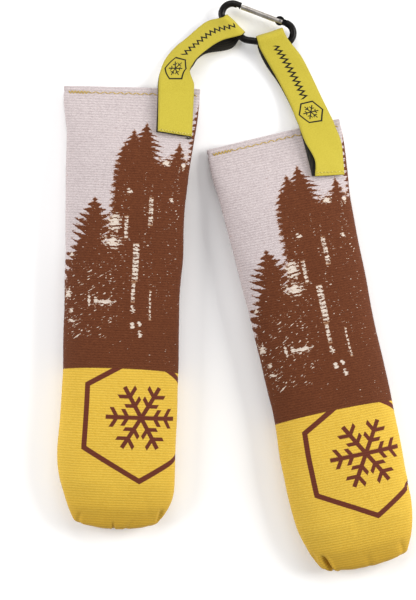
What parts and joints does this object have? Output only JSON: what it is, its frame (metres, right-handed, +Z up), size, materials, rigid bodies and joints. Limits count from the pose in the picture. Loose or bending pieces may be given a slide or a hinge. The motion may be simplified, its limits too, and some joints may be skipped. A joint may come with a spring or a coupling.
{
  "type": "boot drying pouches on a carabiner",
  "caption": "Pair of long stuffed fabric drying pouches for ski boots, joined by woven ribbon loops on a small sprung-gate carabiner.",
  "frame": {"origin": "on the table, under the middle of the pair's outline", "axes": "+Z up, out of the printed fronts as the pair lies face up; +Y from the pouches' bottoms towards the carabiner; +X towards the right pouch"},
  "size_m": [0.2525, 0.4097, 0.034],
  "materials": {
    "black_anodised": "satin",
    "bare_aluminium": "satin",
    "steel": "satin",
    "brass_plunger": "satin",
    "printed_polyester": "matte",
    "liner_felt": "matte",
    "drying_beads": "matte",
    "yellow_thread": "satin",
    "brown_thread": "matte",
    "yellow_ribbon": "satin"
  },
  "bodies": {
    "carabiner": {"carabiner_body": "black_anodised", "gate_rivet": "steel"},
    "gate": {"carabiner_gate": "bare_aluminium", "gate_catch_pin": "steel", "gate_plunger": "brass_plunger", "gate_spring": "steel"},
    "left_loop": {"left_strap": "yellow_ribbon"},
    "left_pouch": {"left_front_panel": "printed_polyester", "left_back_panel": "printed_polyester", "left_liner_bag": "liner_felt", "left_drying_beads": "drying_beads", "left_top_seam_thread": "yellow_thread", "left_side_seam_thread": "brown_thread", "left_strap_sewn_ends": "yellow_ribbon", "left_strap_stitching": "yellow_thread"},
    "right_loop": {"right_strap": "yellow_ribbon"},
    "right_pouch": {"right_front_panel": "printed_polyester", "right_back_panel": "printed_polyester", "right_liner_bag": "liner_felt", "right_drying_beads": "drying_beads", "right_top_seam_thread": "yellow_thread", "right_side_seam_thread": "brown_thread", "right_strap_sewn_ends": "yellow_ribbon", "right_strap_stitching": "yellow_thread"}
  },
  "joints": [
    {"name": "gate_hinge", "type": "hinge", "parent": "carabiner", "child": "gate", "pos_m": [0.0319, 0.1899, 0.008], "axis": [0, 0, 1], "range_deg": [0, 17], "stiffness_Nm_per_rad": 0.06, "springref_deg": -17.19, "deforming": ["gate_spring"]},
    {"name": "left_loop_swing", "type": "hinge", "parent": "carabiner", "child": "left_loop", "pos_m": [-0.0025, 0.18545, 0.008], "axis": [0.6858, -0.7278, 0], "range_deg": [-20, 20]},
    {"name": "left_pouch_fold", "type": "hinge", "parent": "left_loop", "child": "left_pouch", "pos_m": [-0.0422, 0.13945, 0.012], "axis": [0.9992, -0.0401, 0], "range_deg": [-60, 10]},
    {"name": "right_loop_swing", "type": "hinge", "parent": "carabiner", "child": "right_loop", "pos_m": [0.0248, 0.17394, 0.008], "axis": [-0.9912, 0.1323, 0], "range_deg": [-20, 20]},
    {"name": "right_pouch_fold", "type": "hinge", "parent": "right_loop", "child": "right_pouch", "pos_m": [0.0581, 0.115, 0.012], "axis": [-0.9792, -0.2028, 0], "range_deg": [-10, 60]}
  ]
}
